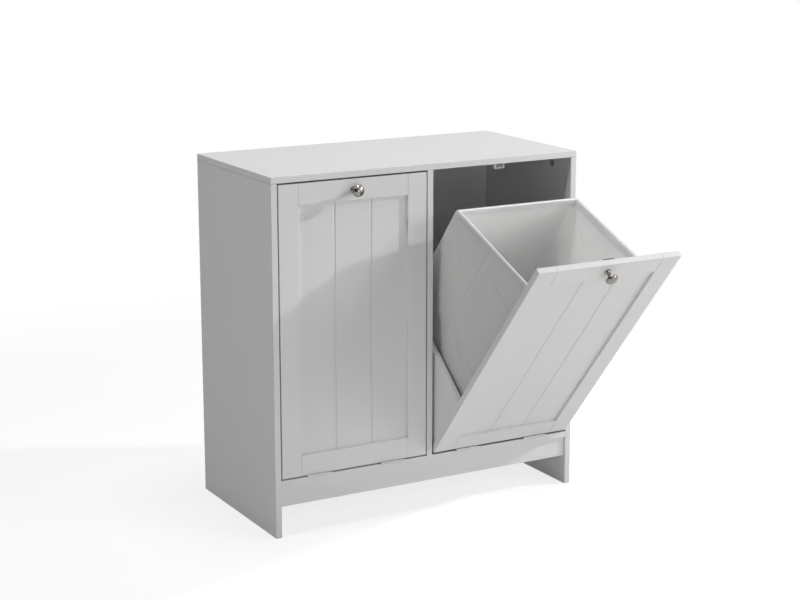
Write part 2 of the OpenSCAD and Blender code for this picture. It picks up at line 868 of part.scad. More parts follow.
module strike_plate() {
    color(steel_colour) difference() {
        translate([0, strike_y1, door_z1 - strike_h / 2]) rotate([90, 0, 0])
            linear_extrude(strike_t) rounded_rect(strike_w, strike_h, 1.5);
        at_strike_screws() countersunk_hole(small_screw_d, strike_screw_len);
    }
}

module strike_screws() {
    color(steel_colour) at_strike_screws() countersunk_screw(small_screw_d, strike_screw_len);
}

module door_leaves() {
    color(steel_colour) hinge_leaves(1);
}

module leaf_screws() {
    color(steel_colour) at_leaf_screws(1) countersunk_screw(small_screw_d, leaf_screw_len);
}

// Tray, drawn closed around X = 0

// Screws through a side board into the tray's bottom and back
module at_tray_screws(side) {
    bottom_ys = [door_back + bag_d * 0.2, door_back + bag_d * 0.8];
    back_zs = [tray_z0 + tray_h * 0.35, tray_z1 - tray_h * 0.2];
    for (y = bottom_ys) translate([side * tray_x1, y, tray_z0 + board_t / 2])
        rotate([0, -side * 90, 0]) children();
    for (z = back_zs) translate([side * tray_x1, tray_y1 - board_t / 2, z])
        rotate([0, -side * 90, 0]) children();
}

module tray_side(side) {
    x0 = side < 0 ? -tray_x1 : tray_x0;
    color(board_colour) difference() {
        board([x0, door_back, tray_z0], [x0 + board_t, tray_y1, tray_z1]);
        at_sites(tray_sites(side)) cam_cut();
        at_tray_screws(side) countersunk_hole(board_screw_d, board_screw_len);
    }
}

module tray_bottom() {
    color(board_colour) difference() {
        board([-tray_x0, door_back, tray_z0], [tray_x0, tray_back_y, tray_floor]);
        for (side = [-1, 1]) at_tray_screws(side) countersunk_hole(board_screw_d, board_screw_len);
    }
}

module tray_back() {
    color(board_colour) difference() {
        board([-tray_x0, tray_back_y, tray_z0], [tray_x0, tray_y1, tray_z1]);
        for (side = [-1, 1]) at_tray_screws(side) countersunk_hole(board_screw_d, board_screw_len);
    }
}

module tray_cam_locks() {
    color(steel_colour) for (side = [-1, 1]) at_sites(tray_sites(side)) cam_lock();
}

module tray_cam_bolts() {
    color(steel_colour) for (side = [-1, 1]) at_sites(tray_sites(side)) cam_bolt();
}

module tray_screws() {
    color(steel_colour) for (side = [-1, 1]) at_tray_screws(side)
        countersunk_screw(board_screw_d, board_screw_len);
}

// Bag: cloth walls and base, with a sloping hem that holds a wire

module bag_prism(inset, z0, z1) {
    translate([0, bag_y, z0]) linear_extrude(z1 - z0)
        rounded_rect(bag_w - 2 * inset, bag_d - 2 * inset, max(bag_corner_r - inset, 1));
}

// Everything above a plane that lies the given depth below the rim
module above_rim(depth) {
    reach = bag_w + bag_d;
    translate([0, bag_y, rim_mid_z - depth]) rotate([-rim_slope, 0, 0])
        translate([-reach, -reach, 0]) cube(2 * reach);
}

module wire_ring(r) {
    half_x = bag_w / 2 - wire_inset;
    half_y = (bag_d / 2 - wire_inset) / cos(rim_slope);
    run_x = half_x - wire_turn_r;
    run_y = half_y - wire_turn_r;
    translate([0, bag_y, rim_mid_z - wire_inset / cos(rim_slope)]) rotate([-rim_slope, 0, 0]) {
        for (end = [-1, 1]) {
            translate([-run_x, end * half_y, 0]) rotate([0, 90, 0]) cylinder(r = r, h = 2 * run_x);
            translate([end * half_x, -run_y, 0]) rotate([-90, 0, 0]) cylinder(r = r, h = 2 * run_y);
        }
        for (i = [0:3]) {
            corner = [[1, 1], [-1, 1], [-1, -1], [1, -1]][i];
            translate([corner.x * run_x, corner.y * run_y, 0]) rotate(90 * i)
                rotate_extrude(angle = 90) translate([wire_turn_r, 0]) circle(r);
        }
    }
}

module bag() {
    top_z = rim_front_z + over;
    floor_z = bag_z0 + cloth_t;
    color(cloth_colour) difference() {
        bag_prism(0, bag_z0, top_z);
        above_rim(0);
        difference() {
            bag_prism(cloth_t, floor_z, top_z);
            above_rim(hem_h);
        }
        bag_prism(hem_t, floor_z, top_z + over);
        wire_ring(wire_r + wire_clear);
        translate([0, bag_y, rim_mid_z - wire_inset / cos(rim_slope)]) rotate([-rim_slope, 0, 0])
            translate([-feed_gap / 2, (bag_d / 2 - hem_t - over) / cos(rim_slope), -1])
                cube([feed_gap, (hem_t / 2 + over) / cos(rim_slope), 2]);
    }
}

module rim_wire() {
    color(steel_colour) wire_ring(wire_r);
}

top_panel();
left_side_panel();
right_side_panel();
divider_panel();
bottom_panel();
kick_board();
back_panel();
cam_locks();
cam_bolts();
dowels();
divider_screws();
catch_housings();
catch_magnets();
catch_screws();
stop_pegs();
stop_sleeves();
hinge_base_leaves();
hinge_pins();
base_leaf_screws();
in_hamper(-1) door_stile(-1);  // left_door_outer_stile
in_hamper(-1) door_stile(1);  // left_door_inner_stile
in_hamper(-1) door_top_rail();  // left_door_top_rail
in_hamper(-1) door_bottom_rail();  // left_door_bottom_rail
in_hamper(-1) door_panel();  // left_door_panel
in_hamper(-1) knob();  // left_knob
in_hamper(-1) knob_screw();  // left_knob_screw
in_hamper(-1) strike_plate();  // left_strike_plate
in_hamper(-1) strike_screws();  // left_strike_screws
in_hamper(-1) door_leaves();  // left_door_leaves
in_hamper(-1) leaf_screws();  // left_leaf_screws
in_hamper(-1) tray_side(-1);  // left_tray_outer_side
in_hamper(-1) tray_side(1);  // left_tray_inner_side
in_hamper(-1) tray_bottom();  // left_tray_bottom
in_hamper(-1) tray_back();  // left_tray_back
in_hamper(-1) tray_cam_locks();  // left_tray_cam_locks
in_hamper(-1) tray_cam_bolts();  // left_tray_cam_bolts
in_hamper(-1) tray_screws();  // left_tray_screws
in_hamper(-1) bag();  // left_bag
in_hamper(-1) rim_wire();  // left_rim_wire
in_hamper(1) door_stile(1);  // right_door_outer_stile
in_hamper(1) door_stile(-1);  // right_door_inner_stile
in_hamper(1) door_top_rail();  // right_door_top_rail
in_hamper(1) door_bottom_rail();  // right_door_bottom_rail
in_hamper(1) door_panel();  // right_door_panel
in_hamper(1) knob();  // right_knob
in_hamper(1) knob_screw();  // right_knob_screw
in_hamper(1) strike_plate();  // right_strike_plate
in_hamper(1) strike_screws();  // right_strike_screws
in_hamper(1) door_leaves();  // right_door_leaves
in_hamper(1) leaf_screws();  // right_leaf_screws
in_hamper(1) tray_side(1);  // right_tray_outer_side
in_hamper(1) tray_side(-1);  // right_tray_inner_side
in_hamper(1) tray_bottom();  // right_tray_bottom
in_hamper(1) tray_back();  // right_tray_back
in_hamper(1) tray_cam_locks();  // right_tray_cam_locks
in_hamper(1) tray_cam_bolts();  // right_tray_cam_bolts
in_hamper(1) tray_screws();  // right_tray_screws
in_hamper(1) bag();  // right_bag
in_hamper(1) rim_wire();  // right_rim_wire
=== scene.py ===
import json
import math

import bpy
import numpy as np
from mathutils import Matrix, Vector


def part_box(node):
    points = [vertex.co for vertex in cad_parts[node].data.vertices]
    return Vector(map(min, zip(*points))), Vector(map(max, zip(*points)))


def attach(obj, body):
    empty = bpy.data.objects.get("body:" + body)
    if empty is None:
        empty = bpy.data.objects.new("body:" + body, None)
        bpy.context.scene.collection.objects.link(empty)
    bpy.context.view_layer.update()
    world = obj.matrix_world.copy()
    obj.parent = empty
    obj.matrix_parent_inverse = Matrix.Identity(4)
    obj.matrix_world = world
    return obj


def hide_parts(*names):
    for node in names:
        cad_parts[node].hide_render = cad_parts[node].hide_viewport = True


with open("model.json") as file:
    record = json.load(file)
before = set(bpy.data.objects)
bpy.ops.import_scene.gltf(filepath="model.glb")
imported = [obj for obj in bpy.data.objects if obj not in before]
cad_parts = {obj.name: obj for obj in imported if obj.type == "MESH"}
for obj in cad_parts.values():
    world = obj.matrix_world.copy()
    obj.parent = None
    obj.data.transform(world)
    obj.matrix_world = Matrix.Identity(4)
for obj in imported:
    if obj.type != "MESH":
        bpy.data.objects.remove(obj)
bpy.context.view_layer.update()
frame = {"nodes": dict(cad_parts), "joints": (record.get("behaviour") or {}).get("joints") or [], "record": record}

# Looks of the tilt-out laundry cabinet. Sizes in the dictionaries are in millimetres,
# and only the studio's and the camera's are in metres.
nodes = frame["nodes"]
mm = 0.001
openHinge = next(joint for joint in frame["joints"] if joint["name"] == "right_hamper_tilt")
openAngle = 40.0   # degrees by which the right hamper stands open
print("frame loaded,", len(nodes), "nodes")


class Value:  # a socket that can stand in a sum
    def __init__(self, graph, socket):
        self.graph = graph
        self.socket = socket

    def __add__(self, other):
        return self.graph.math("ADD", self, other)

    def __sub__(self, other):
        return self.graph.math("SUBTRACT", self, other)

    def __rsub__(self, other):
        return self.graph.math("SUBTRACT", other, self)

    def __mul__(self, other):
        return self.graph.math("MULTIPLY", self, other)

    __radd__ = __add__
    __rmul__ = __mul__

    def out(self, name):  # another output of the same node
        return Value(self.graph, self.socket.node.outputs[name])


class Graph:  # a node tree, shader or geometry
    def __init__(self, tree):
        self.tree = tree

    def node(self, kind, settings=None, sockets=None, out=0):
        made = self.tree.nodes.new(kind)
        for name, value in (settings or {}).items():
            if name == "stops":
                ramp = made.color_ramp.elements
                while len(ramp) < len(value):
                    ramp.new(0.5)
                for stop, (place, shade) in zip(ramp, value):
                    stop.position = place
                    stop.color = (shade, shade, shade, 1)
            else:
                setattr(made, name, value)
        for name, value in (sockets or {}).items():
            self.feed(made.inputs[name], value)
        return Value(self, made.outputs[out]) if made.outputs else made

    def feed(self, socket, value):
        if isinstance(value, Value):
            self.tree.links.new(value.socket, socket)
        else:
            socket.default_value = value

    def math(self, kind, a, b=0.0):
        return self.node("ShaderNodeMath", {"operation": kind}, {0: a, 1: b})

    def mixColour(self, a, b, share):
        return self.node("ShaderNodeMix", {"data_type": "RGBA"}, {0: share, 6: a, 7: b}, 2)

    def noise(self, where, size, detail=2.0, rough=0.5):  # size of a patch, in millimetres
        sockets = {"Vector": where, "Scale": 1 / (size * mm), "Detail": detail, "Roughness": rough}
        return self.node("ShaderNodeTexNoise", {}, sockets)

    def stretch(self, where, along):  # the pattern is drawn out by these factors
        return self.node("ShaderNodeMapping", {}, {"Vector": where, "Scale": [1.0 / k for k in along]})

    def split(self, where):
        axes = self.node("ShaderNodeSeparateXYZ", {}, {0: where}, "X")
        return axes, axes.out("Y"), axes.out("Z")

    def ramp(self, value, stops):
        return self.node("ShaderNodeValToRGB", {"stops": stops}, {0: value})

    def bump(self, height, strength, depth, below=None):  # depth in millimetres
        sockets = {"Strength": strength, "Distance": depth * mm, "Height": height}
        if below is not None:
            sockets["Normal"] = below
        return self.node("ShaderNodeBump", {}, sockets)


def addObject(name, data):
    made = bpy.data.objects.new(name, data)
    bpy.context.scene.collection.objects.link(made)
    return made


def newFinish(name, constants):
    material = bpy.data.materials.new(name)
    material.use_nodes = True
    shader = material.node_tree.nodes["Principled BSDF"]
    for socket, value in constants.items():
        shader.inputs[socket].default_value = value
    return material, Graph(material.node_tree), shader


def tint(colour, factor):
    return tuple(c * factor for c in colour) + (1.0,)


def smooth(low, high, x):  # 0 up to low, 1 from high on
    t = np.clip((x - low) / (high - low), 0.0, 1.0)
    return t * t * (3 - 2 * t)


# finishes of the boards; peel is the paint's fine texture
boardLooks = {
    "carcassBoard": {"slot": "carcass_board", "colour": (0.735, 0.735, 0.728), "roughness": 0.44,
                     "peelSize": 1.6, "peelDepth": 0.016, "cloud": 0.012, "speck": 0.048},
    "backBoard": {"slot": "back_board", "colour": (0.715, 0.715, 0.706), "roughness": 0.58,
                  "peelSize": 0.9, "peelDepth": 0.022, "cloud": 0.016, "speck": 0.080},
    "doorFrameBoard": {"slot": "door_frame_board", "colour": (0.735, 0.735, 0.728), "roughness": 0.46,
                       "peelSize": 2.4, "peelDepth": 0.014, "cloud": 0.010, "speck": 0.032},
    "doorPanelBoard": {"slot": "door_panel_board", "colour": (0.73, 0.73, 0.723), "roughness": 0.47,
                       "peelSize": 2.4, "peelDepth": 0.014, "cloud": 0.010, "speck": 0.032},
    "trayBoard": {"slot": "tray_board", "colour": (0.735, 0.735, 0.728), "roughness": 0.45,
                  "peelSize": 1.6, "peelDepth": 0.016, "cloud": 0.012, "speck": 0.048},
}
# what they share: sizes of the patches, where specks begin, how dark a joint line is, also where that is painted
# shade, how much handling shows
boardSkin = {"ior": 1.46, "cloudSize": 160, "speckSize": 0.8, "speckStops": ((0.62, 0.0), (0.80, 0.3)),
             "jointShade": 0.12, "handledSize": 55, "handledSwing": 0.10, "peelStrength": 0.5}

# where joints and worn edges run on a door and what they look like
doorLines = {"bayMiddle": 162.0, "opening": 113.5, "topRail": 626.0, "bottomRail": 154.0,
             "jointReach": 0.45, "jointDark": 0.5, "arris": 0.9, "arrisDepth": 0.25,
             "groove": 37.83, "grooveHalf": 4.0, "grooveSoft": 0.87}
# height across a plank's groove, from grooveHalf on its left to as much on its right
grooveProfile = ((0.05, 0.667), (0.25, 0.0), (0.5, 1.0), (0.584, 0.667))
# the dark line along the tray's joint with the door is painted shade, as a gap would cast
trayLine = {"at": 12.0, "reach": 1.1, "dark": 0.6, "depth": 0.2}   # at the door's back face
# the dark line under the top panel is painted shade at its joint
topLine = {"at": 669.0, "darkReach": 0.6, "dark": 0.45, "reach": 0.9, "depth": 0.2}   # under the top panel


def near(graph, distance, reach):  # 1 on a line, falling to 0 at this many millimetres from it
    return graph.math("MAXIMUM", 1.0 - graph.math("ABSOLUTE", distance) * (1 / reach), 0.0)


def hamperPlace(graph, where):
    # millimetres across from the bay's middle, in from the door's face, and up, on either hamper as it stands
    x, y, z = graph.split(where)
    opened = graph.math("GREATER_THAN", x, 0.0)
    angle = math.radians(openAngle)
    hinge = openHinge["pos_m"]
    cosine, sine = 1.0 - opened * (1 - math.cos(angle)), opened * math.sin(angle)
    back, up = y - hinge[1], z - hinge[2]
    face = (hinge[1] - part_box("left_door_top_rail")[0].y) / mm
    across = graph.math("ABSOLUTE", x) * (1 / mm) - doorLines["bayMiddle"]
    deep = (back * cosine + up * sine) * (1 / mm) + face
    high = (up * cosine - back * sine) * (1 / mm) + hinge[2] / mm
    return graph.math("ABSOLUTE", across), deep, high


# each of these gives what is darker, what is sunk and how deep
def frameMarks(graph, where):  # joints between stiles and rails, and the edges round the panel
    across, _, high = hamperPlace(graph, where)
    lines = doorLines
    joint = across - lines["opening"]
    inside = graph.math("LESS_THAN", joint, 0.0)
    overTop = graph.math("GREATER_THAN", high, lines["topRail"])
    underBottom = graph.math("LESS_THAN", high, lines["bottomRail"])
    topEdge = near(graph, high - lines["topRail"], lines["arris"])
    bottomEdge = near(graph, high - lines["bottomRail"], lines["arris"])
    sunk = near(graph, joint, lines["arris"]) + (topEdge + bottomEdge) * inside
    dark = near(graph, joint, lines["jointReach"]) * (overTop + underBottom) * lines["jointDark"]
    return dark, sunk, lines["arrisDepth"]


def panelMarks(graph, where):  # the grooves between planks, with soft shoulders
    x = graph.split(where)[0]
    middle = graph.math("SIGN", x) * doorLines["bayMiddle"]
    across = x * (1 / mm) - middle
    past = (graph.math("ABSOLUTE", across) - doorLines["groove"]) * graph.math("SIGN", across)
    height = graph.ramp(past * (0.5 / doorLines["grooveHalf"]) + 0.5, grooveProfile)
    return None, 1.0 - height, doorLines["grooveSoft"]


# painted shade along the tray's joint with the door, and a dip there
def trayMarks(graph, where):
    deep = hamperPlace(graph, where)[1]
    joint = near(graph, deep - trayLine["at"], trayLine["reach"])
    return joint * trayLine["dark"], joint, trayLine["depth"]


# painted shade in the joint under the top panel, and a dip there
def carcassMarks(graph, where):
    joint = graph.split(where)[2] * (1 / mm) - topLine["at"]
    dark = near(graph, joint, topLine["darkReach"]) * topLine["dark"]
    return dark, near(graph, joint, topLine["reach"]), topLine["depth"]


boardMarks = {"carcassBoard": carcassMarks, "doorFrameBoard": frameMarks, "doorPanelBoard": panelMarks,
              "trayBoard": trayMarks}


def makeBoard(name, look):
    skin, colour = boardSkin, look["colour"]
    material, graph, shader = newFinish(name, {"IOR": skin["ior"]})
    where = graph.node("ShaderNodeTexCoord", out="Object")
    cloud = graph.noise(where, skin["cloudSize"], 3)
    speck = graph.ramp(graph.noise(where, skin["speckSize"], 1), skin["speckStops"])
    handled = graph.noise(where, skin["handledSize"], 4, 0.6)
    tone = graph.mixColour(tint(colour, 1 - look["cloud"]), tint(colour, 1 + look["cloud"]), cloud)
    grain = graph.mixColour(tone, tint(colour, 1 - look["speck"]), speck)
    peel = graph.bump(graph.noise(where, look["peelSize"], 2), skin["peelStrength"], look["peelDepth"])
    if name in boardMarks:
        dark, sunk, depth = boardMarks[name](graph, where)
        if dark is not None:
            grain = graph.mixColour(grain, tint(colour, skin["jointShade"]), dark)
        peel = graph.bump(1.0 - sunk, 1.0, depth, peel)
    graph.feed(shader.inputs["Base Color"], grain)
    graph.feed(shader.inputs["Roughness"], look["roughness"] + (handled - 0.5) * skin["handledSwing"])
    graph.feed(shader.inputs["Normal"], peel)
    return material


finishes = {look["slot"]: makeBoard(name, look) for name, look in boardLooks.items()}

# finishes of the metal parts; drawn stretches the grain along the part
metalLooks = {
    # its colour sits well below nickel's own: it paints in the dim surroundings that its reflections show
    "polishedNickel": {"slot": "polished_nickel", "colour": (0.29, 0.272, 0.25), "metal": 1.0,
                       "roughness": 0.10, "grainSize": 0.35, "grainDepth": 0.002, "drawn": (1, 1, 1),
                       "stain": 0.06},
    "hingeSteel": {"slot": "hinge_steel", "colour": (0.52, 0.52, 0.52), "metal": 0.8,
                   "roughness": 0.42, "grainSize": 0.25, "grainDepth": 0.012, "drawn": (14, 1, 1),
                   "stain": 0.22},
    # its colour sits far below steel's own: painted shade and dark reflections for where it sits behind the door's
    # top edge
    "strikeSteel": {"slot": "strike_steel", "colour": (0.12, 0.12, 0.122), "metal": 1.0,
                    "roughness": 0.30, "grainSize": 0.25, "grainDepth": 0.010, "drawn": (14, 1, 1),
                    "stain": 0.20},
    "screwSteel": {"slot": "screw_steel", "colour": (0.52, 0.52, 0.525), "metal": 1.0,
                   "roughness": 0.32, "grainSize": 0.30, "grainDepth": 0.008, "drawn": (1, 1, 1),
                   "stain": 0.16},
    "castZinc": {"slot": "zinc", "colour": (0.42, 0.42, 0.43), "metal": 0.4,
                 "roughness": 0.55, "grainSize": 0.45, "grainDepth": 0.030, "drawn": (1, 1, 1),
                 "stain": 0.25},
    "magnetSteel": {"slot": "magnet_steel", "colour": (0.20, 0.20, 0.21), "metal": 1.0,
                    "roughness": 0.48, "grainSize": 0.40, "grainDepth": 0.020, "drawn": (1, 1, 1),
                    "stain": 0.25},
}
metalSkin = {"stainSize": 3.5, "roughLow": 0.82, "roughSwing": 0.36, "grainStrength": 0.6}


def makeMetal(name, look):
    skin, colour = metalSkin, look["colour"]
    material, graph, shader = newFinish(name, {"Metallic": look["metal"]})
    where = graph.node("ShaderNodeTexCoord", out="Object")
    grain = graph.noise(graph.stretch(where, look["drawn"]), look["grainSize"], 2)
    stain = graph.noise(where, skin["stainSize"], 3, 0.6)
    shade = graph.mixColour(tint(colour, 1 - look["stain"]), tint(colour, 1), stain)
    graph.feed(shader.inputs["Base Color"], shade)
    rough = skin["roughLow"] + skin["roughSwing"] * stain
    graph.feed(shader.inputs["Roughness"], look["roughness"] * rough)
    graph.feed(shader.inputs["Normal"], graph.bump(grain, skin["grainStrength"], look["grainDepth"]))
    return material


finishes.update({look["slot"]: makeMetal(name, look) for name, look in metalLooks.items()})

# plastic of the catches, rubber of the stops and beech of the dowels
plasticLook = {"colour": (0.76, 0.745, 0.70), "ior": 1.49, "flowSize": 4, "drawn": (1, 4, 1),
               "dark": 0.95, "pale": 1.03, "roughness": 0.38, "roughSwing": 0.1,
               "grainSize": 0.5, "grainStrength": 0.5, "grainDepth": 0.012}
rubberLook = {"colour": (0.045, 0.045, 0.047), "ior": 1.50, "dust": (0.16, 0.155, 0.15), "dustSize": 0.9,
              "dustStops": ((0.52, 0.0), (0.78, 0.6)), "roughness": 0.72, "roughSwing": 0.15,
              "skinSize": 0.4, "skinStrength": 0.7, "skinDepth": 0.02}
beechLook = {"pale": (0.56, 0.40, 0.26), "dark": (0.40, 0.26, 0.15), "ior": 1.48,
             "grainSize": 1.4, "grainDrawn": (9, 1, 1), "grainStrength": 0.5, "grainDepth": 0.04,
             "fleck": (0.24, 0.14, 0.08), "fleckSize": 0.5, "fleckDrawn": (4, 1, 1),
             "fleckStops": ((0.66, 0.0), (0.74, 0.8)), "roughness": 0.60, "roughSwing": 0.2}


def makePlastic(look):
    material, graph, shader = newFinish("catchPlastic", {"IOR": look["ior"]})
    where = graph.node("ShaderNodeTexCoord", out="Object")
    flow = graph.noise(graph.stretch(where, look["drawn"]), look["flowSize"], 2)
    grain = graph.noise(where, look["grainSize"], 1)
    shade = graph.mixColour(tint(look["colour"], look["dark"]), tint(look["colour"], look["pale"]), flow)
    graph.feed(shader.inputs["Base Color"], shade)
    graph.feed(shader.inputs["Roughness"], look["roughness"] + (flow - 0.5) * look["roughSwing"])
    graph.feed(shader.inputs["Normal"], graph.bump(grain, look["grainStrength"], look["grainDepth"]))
    return material


def makeRubber(look):
    material, graph, shader = newFinish("stopRubber", {"IOR": look["ior"]})
    where = graph.node("ShaderNodeTexCoord", out="Object")
    dust = graph.ramp(graph.noise(where, look["dustSize"], 3, 0.7), look["dustStops"])
    skin = graph.noise(where, look["skinSize"], 2)
    shade = graph.mixColour(tint(look["colour"], 1), tint(look["dust"], 1), dust)
    graph.feed(shader.inputs["Base Color"], shade)
    graph.feed(shader.inputs["Roughness"], look["roughness"] + (skin - 0.5) * look["roughSwing"])
    graph.feed(shader.inputs["Normal"], graph.bump(skin, look["skinStrength"], look["skinDepth"]))
    return material


def makeBeech(look):
    material, graph, shader = newFinish("dowelBeech", {"IOR": look["ior"]})
    where = graph.node("ShaderNodeTexCoord", out="Object")
    grain = graph.noise(graph.stretch(where, look["grainDrawn"]), look["grainSize"], 3, 0.6)
    flecks = graph.noise(graph.stretch(where, look["fleckDrawn"]), look["fleckSize"], 1)
    wood = graph.mixColour(tint(look["dark"], 1), tint(look["pale"], 1), grain)
    shade = graph.mixColour(wood, tint(look["fleck"], 1), graph.ramp(flecks, look["fleckStops"]))
    graph.feed(shader.inputs["Base Color"], shade)
    graph.feed(shader.inputs["Roughness"], look["roughness"] + (grain - 0.5) * look["roughSwing"])
    graph.feed(shader.inputs["Normal"], graph.bump(grain, look["grainStrength"], look["grainDepth"]))
    return material


finishes["white_plastic"] = makePlastic(plasticLook)
finishes["stop_rubber"] = makeRubber(rubberLook)
finishes["beech"] = makeBeech(beechLook)

# bag cloth and its thread; the pattern runs in the cloth's own map, in metres
clothLook = {
    "thread": 0.85, "crossing": 0.35, "weaveMiddle": 0.6, "weaveShade": 0.25,
    "weaveDepth": 0.10, "weaveStrength": 0.35,
    "through": 0.8, "scatter": 3.0,   # how much light goes through, and how far it spreads
    "dark": 0.94, "pale": 1.06,
    "mottle": 0.28, "mottleSize": 2.6, "mottleRough": 0.2,
    "slub": 0.24, "slubDrawn": 30,
    "cloud": 0.16, "cloudSize": 45,
    "roughness": 0.86, "softSize": 3.2, "softDepth": 0.10, "softStrength": 0.35,
    # painted highlight along the pressed fold and painted shade just beside it: how strong, how wide, how far off
    "foldPaintedHighlight": 0.75, "foldPaintedHighlightReach": 1.6, "foldPaintedShade": 0.55, "foldPaintedShadeReach": 2.0, "foldPaintedShadeAt": 2.6,
    "creasePaintedShadeReach": 2.2, "creasePaintedShade": 0.55,
}
# one cloth in two colours: the inside face paler, painted light, and the outside darker, painted shade
clothColours = {"bagCloth": (0.61, 0.61, 0.605), "bagInsidePaintedLight": (0.90, 0.90, 0.892)}
threadLook = {"colour": (0.76, 0.76, 0.75), "dark": 0.9, "pale": 1.05, "twist": 0.5,
              "twistStrength": 0.6, "twistDepth": 0.08}

foldAt = -24.0   # y of the fold pressed into each side wall
# creases in the side walls: start and end (y, z), height, width and how dark their painted shade is
bagCreases = (
    ((-63, 515), (-146, 524), 2.1, 3.6, 0.34),
    ((-36, 348), (-112, 306), 2.3, 3.6, 0.36),
    ((-46, 352), (-144, 322), 2.0, 4.0, 0.36),
    ((70, 480), (30, 452), 1.3, 6.0, 0.15),
    ((96, 330), (20, 352), 1.3, 5.0, 0.15),
    ((-10, 340), (60, 296), 1.4, 5.0, 0.20),
)
# shares of a crease's length: where it starts to rise, where it is full, and how its painted shade fades
creaseEnds = {"start": -0.12, "full": 0.25, "markReach": 0.64, "markSteep": 2.5}


# where a crease's painted shade lies
def paintedCreaseShade(graph, u, v, start, end, reach):  # 1 along a line in the cloth, fading towards its ends
    (u0, v0), (u1, v1) = start, end
    length = math.hypot(u1 - u0, v1 - v0)
    ahead, aside = (u1 - u0) / length, (v1 - v0) / length
    run = (u - u0) * (ahead / length) + (v - v0) * (aside / length)
    away = (v - v0) * ahead - (u - u0) * aside
    fade = near(graph, run - 0.5, creaseEnds["markReach"]) * creaseEnds["markSteep"]
    return near(graph, away, reach) * graph.math("MINIMUM", fade, 1.0)


def makeCloth(name, colour, look):
    material, graph, shader = newFinish(name, {
        "IOR": 1.40, "Sheen Weight": 0.12, "Sheen Roughness": 0.5,
        "Subsurface Weight": look["through"], "Subsurface Scale": look["scatter"] * mm,
        "Subsurface Radius": (1.0, 1.0, 1.0)})
    where = graph.node("ShaderNodeUVMap", {"uv_map": "cloth"})
    u, v, _ = graph.split(where)
    turn = math.pi / (look["thread"] * mm)   # half a wave for each thread
    warp = graph.math("SINE", u * turn)
    weft = graph.math("SINE", v * turn)
    weave = graph.math("ABSOLUTE", warp) * 0.5 + graph.math("ABSOLUTE", weft) * 0.5 \
        + warp * weft * look["crossing"]
    slubs = graph.noise(graph.stretch(where, (look["slubDrawn"], 1, 1)), look["thread"], 1) \
        + graph.noise(graph.stretch(where, (1, look["slubDrawn"], 1)), look["thread"], 1) - 1.0
    mottle = graph.noise(where, look["mottleSize"], 3, 0.6) - 0.5
    cloud = graph.noise(where, look["cloudSize"], 2) - 0.5
    shade = 0.5 + mottle * look["mottle"] + slubs * look["slub"] + cloud * look["cloud"] \
        + (weave - look["weaveMiddle"]) * look["weaveShade"]
    across, up = u * (1 / mm), v * (1 / mm)
    fold = across - foldAt
    # painted highlight on the fold's line and painted shade beside it, in the cloth's colour
    shade = shade + near(graph, fold, look["foldPaintedHighlightReach"]) * look["foldPaintedHighlight"] \
        - near(graph, fold - look["foldPaintedShadeAt"], look["foldPaintedShadeReach"]) * look["foldPaintedShade"]
    shade = graph.math("MINIMUM", graph.math("MAXIMUM", shade, 0.0), 1.0)
    woven = graph.mixColour(tint(colour, look["dark"]), tint(colour, look["pale"]), shade)
    # painted shade along each crease, darkening the cloth's colour
    lines = sum(paintedCreaseShade(graph, across, up, start, end, look["creasePaintedShadeReach"]) * dark
                for start, end, _, _, dark in bagCreases)
    graph.feed(shader.inputs["Base Color"], graph.mixColour(woven, tint(colour, look["creasePaintedShade"]), lines))
    graph.feed(shader.inputs["Roughness"], look["roughness"] + mottle * look["mottleRough"])
    soft = graph.bump(graph.noise(where, look["softSize"], 2), look["softStrength"], look["softDepth"])
    graph.feed(shader.inputs["Normal"], graph.bump(weave, look["weaveStrength"], look["weaveDepth"], soft))
    return material


def makeThread(look):
    material, graph, shader = newFinish("seamThread", {"Sheen Weight": 0.2, "Roughness": 0.8})
    where = graph.node("ShaderNodeTexCoord", out="Object")
    twist = graph.noise(where, look["twist"], 1)
    shade = graph.mixColour(tint(look["colour"], look["dark"]), tint(look["colour"], look["pale"]), twist)
    graph.feed(shader.inputs["Base Color"], shade)
    graph.feed(shader.inputs["Normal"], graph.bump(twist, look["twistStrength"], look["twistDepth"]))
    return material


bagCloth, bagInsidePaintedLight = (makeCloth(name, colour, clothLook) for name, colour in clothColours.items())
finishes["bag_cloth"] = bagCloth
seamThread = makeThread(threadLook)
print("finishes made for", len(finishes), "slots")

for part in frame["record"]["subparts"]:
    piece = nodes[part["node"]]
    if not piece.material_slots:
        piece.data.materials.append(None)
    for place in piece.material_slots:
        place.material = finishes[part["material_slot"]]

